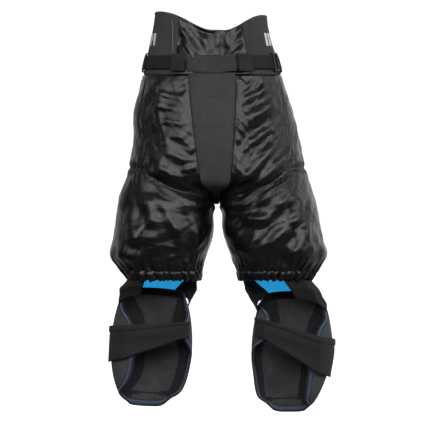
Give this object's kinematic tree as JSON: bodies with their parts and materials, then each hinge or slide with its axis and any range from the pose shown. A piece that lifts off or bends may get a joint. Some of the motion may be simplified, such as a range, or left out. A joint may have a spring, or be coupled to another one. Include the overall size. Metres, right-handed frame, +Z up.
{
  "type": "hockey pants",
  "caption": "Youth ice hockey pants: a nylon shell with a stretch back panel, belt and inner pads, and shin guards hung from the knees on fabric tabs.",
  "frame": {"origin": "middle of the wearer's waist, on the belt's centre line", "axes": "+Z up towards the wearer's head, +Y out of the wearer's front, +X to the wearer's right"},
  "size_m": [0.407, 0.2, 0.714],
  "materials": {
    "nylon": "shiny wrinkled nylon shell",
    "stretch": "matt ribbed stretch fabric",
    "waistband": "matt brushed fabric",
    "webbing": "woven webbing",
    "acetal": "satin moulded plastic",
    "foam": "covered foam",
    "lining": "smooth sky blue lining",
    "liner": "brushed tricot over foam",
    "shield": "moulded plastic shell"
  },
  "bodies": {
    "garment": {"back_yoke": "nylon", "waist_panel_left": "waistband", "waist_panel_right": "waistband", "back_panel_left": "nylon", "back_panel_right": "nylon", "side_panel_left": "nylon", "side_panel_right": "nylon", "front_panel_left": "nylon", "front_panel_right": "nylon", "stretch_panel": "stretch", "front_gusset": "stretch", "hem_band_left": "nylon", "hem_band_right": "nylon", "hip_cap_left": "shield", "hip_cap_right": "shield", "hip_pad_left": "foam", "hip_pad_right": "foam", "thigh_guard_left": "shield", "thigh_guard_right": "shield", "thigh_pad_left": "foam", "thigh_pad_right": "foam", "kidney_pad_left": "foam", "kidney_pad_right": "foam", "tailbone_pad": "foam", "knee_lining_left": "lining", "knee_lining_right": "lining", "belt_tunnel": "waistband", "belt_webbing_left": "webbing", "belt_webbing_right": "webbing", "back_keeper_left": "waistband", "back_keeper_right": "waistband", "side_loop_left": "waistband", "side_loop_right": "waistband", "buckle_socket": "acetal", "fly_strip": "webbing", "outer_connector_left": "waistband", "outer_connector_right": "waistband", "inner_connector_left": "waistband", "inner_connector_right": "waistband"},
    "belt_slider": {"belt_slider": "acetal"},
    "buckle_plug": {"buckle_plug": "acetal", "belt_tail": "webbing"},
    "fly_flap": {"fly_flap": "nylon"},
    "shin_guard_left": {"shin_liner_left": "liner", "outer_wing_left": "liner", "inner_wing_left": "liner", "knee_cap_left": "shield", "shin_cap_left": "shield"},
    "calf_strap_left": {"calf_strap_left": "webbing"},
    "shin_guard_right": {"shin_liner_right": "liner", "outer_wing_right": "liner", "inner_wing_right": "liner", "knee_cap_right": "shield", "shin_cap_right": "shield"},
    "calf_strap_right": {"calf_strap_right": "webbing"}
  },
  "joints": [
    {"name": "knee_left", "type": "hinge", "parent": "garment", "child": "shin_guard_left", "pos_m": [-0.111, 0, -0.408], "axis": [-1, 0, 0], "range_deg": [-3, 54]},
    {"name": "knee_right", "type": "hinge", "parent": "garment", "child": "shin_guard_right", "pos_m": [0.137, 0, -0.418], "axis": [-1, 0, 0], "range_deg": [-3, 54]},
    {"name": "strap_left", "type": "hinge", "parent": "shin_guard_left", "child": "calf_strap_left", "pos_m": [-0.1921, -0.0184, -0.499], "axis": [-0.05, 0, -0.9987], "range_deg": [0, 110]},
    {"name": "strap_right", "type": "hinge", "parent": "shin_guard_right", "child": "calf_strap_right", "pos_m": [0.2135, -0.0184, -0.513], "axis": [0, 0, 1], "range_deg": [0, 110]},
    {"name": "fly_open", "type": "hinge", "parent": "garment", "child": "fly_flap", "pos_m": [-0.035, 0.101, -0.093], "axis": [-0.0317, -0.0795, 0.9963], "range_deg": [0, 100]},
    {"name": "buckle_release", "type": "slide", "parent": "garment", "child": "buckle_plug", "axis": [1, 0, 0], "range_m": [0, 0.03]},
    {"name": "slider_adjust", "type": "slide", "parent": "garment", "child": "belt_slider", "axis": [0.49, 0.8717, 0], "range_m": [-0.006, 0]}
  ]
}
